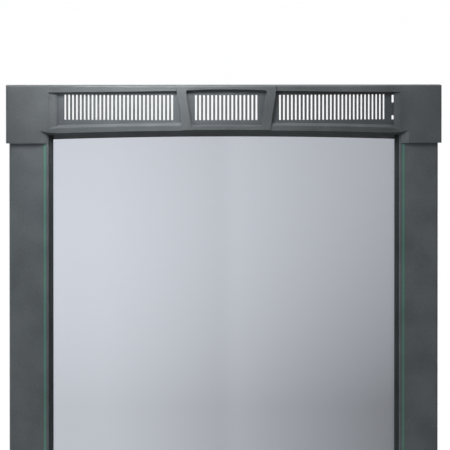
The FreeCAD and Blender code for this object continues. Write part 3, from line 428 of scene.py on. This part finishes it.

# %% [markdown]
# The backdrop is a glowing sheet two metres behind the door, and only the clear panel shows it. It
# is no lamp: its light is painted shade, falling from left to right and towards the foot, which is
# the slow shade seen across the acrylic. A painted seam of light near the middle, darker on its left
# and lighter on its right, leaves a faint upright line, and at its edges the sheet fades into the
# white of the room. The shade is a formula of the place on the panel: right and down run from 0 to 1
# over the part of the panel that is in the picture.

# %% Painted shade of the backdrop
PICTURED_HEIGHT = 0.32
LEFT_SHADE = (0.595, 0.17, -0.20)
RIGHT_SHADE = (0.36, 0.03, -0.16)
SHADE_END = 1.2
EVEN_LEFT = 0.17
ACROSS_POWER = 1.1
SEAM_AT = 0.51
SEAM_WIDTH = 0.02
SEAM_REACH = 0.14
SEAM_LIGHT = 0.022
FADE_WIDTH = 0.75

panel_low, panel_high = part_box("acrylic_panel")
panel_foot = (panel_high.z - panel_low.z) / PICTURED_HEIGHT


def edge_shade(shade, depth):
    """Painted light along one side of the panel: a level at the top, a slope and a bend, as a + b d + c d^2.
    """
    at_top, slope, bend = shade
    return at_top + slope * depth + bend * depth ** 2


def panel_shade(right, down):
    """Painted shade seen through the panel: the left side's light stays even for a stretch, then fades into
    the right side's with a power of the way across."""
    depth = np.clip(down, 0.0, SHADE_END)
    left_edge = edge_shade(LEFT_SHADE, depth)
    right_edge = edge_shade(RIGHT_SHADE, depth)
    across = np.clip((right - EVEN_LEFT) / (1 - EVEN_LEFT), 0.0, SHADE_END)
    return left_edge + (right_edge - left_edge) * across ** ACROSS_POWER


def painted_seam(right):
    """A painted seam of light: a soft jump (a hyperbolic tangent) from darker on its left to lighter on its
    right, that dies away on both sides (an exponential)."""
    past = right - SEAM_AT
    return SEAM_LIGHT * np.tanh(past / SEAM_WIDTH) * np.exp(-np.abs(past) / SEAM_REACH)


def room_share(right, down):
    """How much the painted shade has faded into the white room: none over the panel, all of it a set width
    outside, with the smooth step 3 s^2 - 2 s^3 between the two."""
    beside = np.maximum(-right, right - 1.0) / FADE_WIDTH
    beyond = np.maximum(-down, down - panel_foot) / FADE_WIDTH
    step = np.clip(np.maximum(beside, beyond), 0.0, 1.0)
    return step ** 2 * (3 - 2 * step)


print("light at the panel's top corners:", panel_shade(0.0, 0.0), panel_shade(1.0, 0.0))

# %% [markdown]
# The sheet is laid out on the panel first, as the camera sees it, and then pushed back along the
# lines of sight. Its painted light is stored point by point and read by an emission shader, so the
# sheet glows without a lamp. The acrylic dims what it shows, so the sheet is brighter than the shade
# by what the dye and the two faces of the panel take away.

# %% Glowing backdrop with painted shade, behind the acrylic
BACKDROP_BEHIND = 2.0
BACKDROP_MARGIN = 0.8
BACKDROP_COLUMNS = 157
BACKDROP_ROWS = 97
FACES_LET_THROUGH = 0.92

right, down = np.meshgrid(np.linspace(-BACKDROP_MARGIN, 1 + BACKDROP_MARGIN, BACKDROP_COLUMNS),
                          np.linspace(-BACKDROP_MARGIN, panel_foot + BACKDROP_MARGIN, BACKDROP_ROWS))
panel_points = np.stack([
    panel_low.x + (panel_high.x - panel_low.x) * right,
    np.full_like(right, block_face),
    panel_high.z - PICTURED_HEIGHT * down,
], axis=-1)
eye_point = np.array(camera.location)
stretch = (block_face + BACKDROP_BEHIND - eye_point[1]) / (block_face - eye_point[1])
painted_shade_backdrop = grid_object("painted_shade_backdrop", eye_point + (panel_points - eye_point) * stretch)

panel_lets_through = FACES_LET_THROUGH * np.mean(linear(DYE)[:3])
# Painted shade with its painted seam of light, raised by what the panel takes away.
painted_light_levels = (panel_shade(right, down) + painted_seam(right)) / panel_lets_through
painted_light_levels += (1.0 - painted_light_levels) * room_share(right, down)
painted_glow = painted_shade_backdrop.data.attributes.new("painted_glow", "FLOAT", "POINT")
painted_glow.data.foreach_set("value", painted_light_levels.astype(np.float32).ravel())

# An emission shader shows the painted light stored in the sheet's points; the sheet is no lamp.
painted_light_sheet = bpy.data.materials.new("painted_light_sheet")
painted_light_sheet.use_nodes = True
tree = painted_light_sheet.node_tree
tree.nodes.remove(tree.nodes["Principled BSDF"])
stored = add_node(tree, "ShaderNodeAttribute", {}, attribute_name="painted_glow")
painted_light_emission = add_node(tree, "ShaderNodeEmission", {"Strength": stored.outputs["Fac"]})
tree.links.new(painted_light_emission.outputs["Emission"], tree.nodes["Material Output"].inputs["Surface"])
painted_shade_backdrop.data.materials.append(painted_light_sheet)
painted_shade_backdrop.visible_camera = False
painted_shade_backdrop.visible_diffuse = False
painted_shade_backdrop.visible_glossy = False
painted_shade_backdrop.visible_shadow = False
print("backdrop faces:", len(painted_shade_backdrop.data.polygons))

# %% [markdown]
# A key softbox close to the cap's upper left makes the stiles fall off downwards. A narrow softbox
# over each half of the bow lifts the strips beside the windows, more on the left than on the right.
# A wide one far out at the left and a small one low in front keep the stiles' feet from going
# black, and one behind lights the back. The narrow, side and foot softboxes only fill: they are
# kept out of reflections and out of what shows through the panel.

# %% Softboxes
cap_top = Vector((door_middle, block_face, cap_high.z))


def add_softbox(name, place, aim, width, height, watts, mirrored):
    """An area light at place, turned to aim, both in metres right of, behind and above the middle
    of the cap's top. mirrored says whether reflections and the clear panel show it."""
    light = bpy.data.lights.new(name, "AREA")
    light.shape = "RECTANGLE"
    light.size = width
    light.size_y = height
    light.energy = watts
    lamp = bpy.data.objects.new(name, light)
    scene.collection.objects.link(lamp)
    lamp.location = cap_top + Vector(place)
    lamp.rotation_euler = (Vector(aim) - Vector(place)).to_track_quat("-Z", "Y").to_euler()
    lamp.visible_camera = False
    lamp.visible_glossy = mirrored
    lamp.visible_transmission = mirrored
    print(name, watts, "W")


add_softbox("key_softbox", place=(-0.11, -0.27, 0.21), aim=(-0.05, 0.0, -0.1),
            width=0.14, height=0.14, watts=1.8, mirrored=True)
add_softbox("left_strip_softbox", place=(-0.155, -0.092, 0.07), aim=(-0.136, -0.032, 0.0),
            width=0.26, height=0.03, watts=0.47, mirrored=False)
add_softbox("right_strip_softbox", place=(0.17, -0.09, 0.07), aim=(0.15, -0.03, 0.0),
            width=0.14, height=0.03, watts=0.12, mirrored=False)
add_softbox("side_softbox", place=(-1.5, -1.2, 0.1), aim=(0.0, 0.0, -0.3),
            width=1.0, height=1.0, watts=21.5, mirrored=False)
add_softbox("foot_softbox", place=(-0.1, -0.7, -0.85), aim=(0.0, 0.0, -0.8),
            width=0.5, height=0.5, watts=1.6, mirrored=False)
add_softbox("back_softbox", place=(1.2, 2.2, 0.6), aim=(0.0, 0.0, -0.5),
            width=1.2, height=1.2, watts=14.0, mirrored=True)
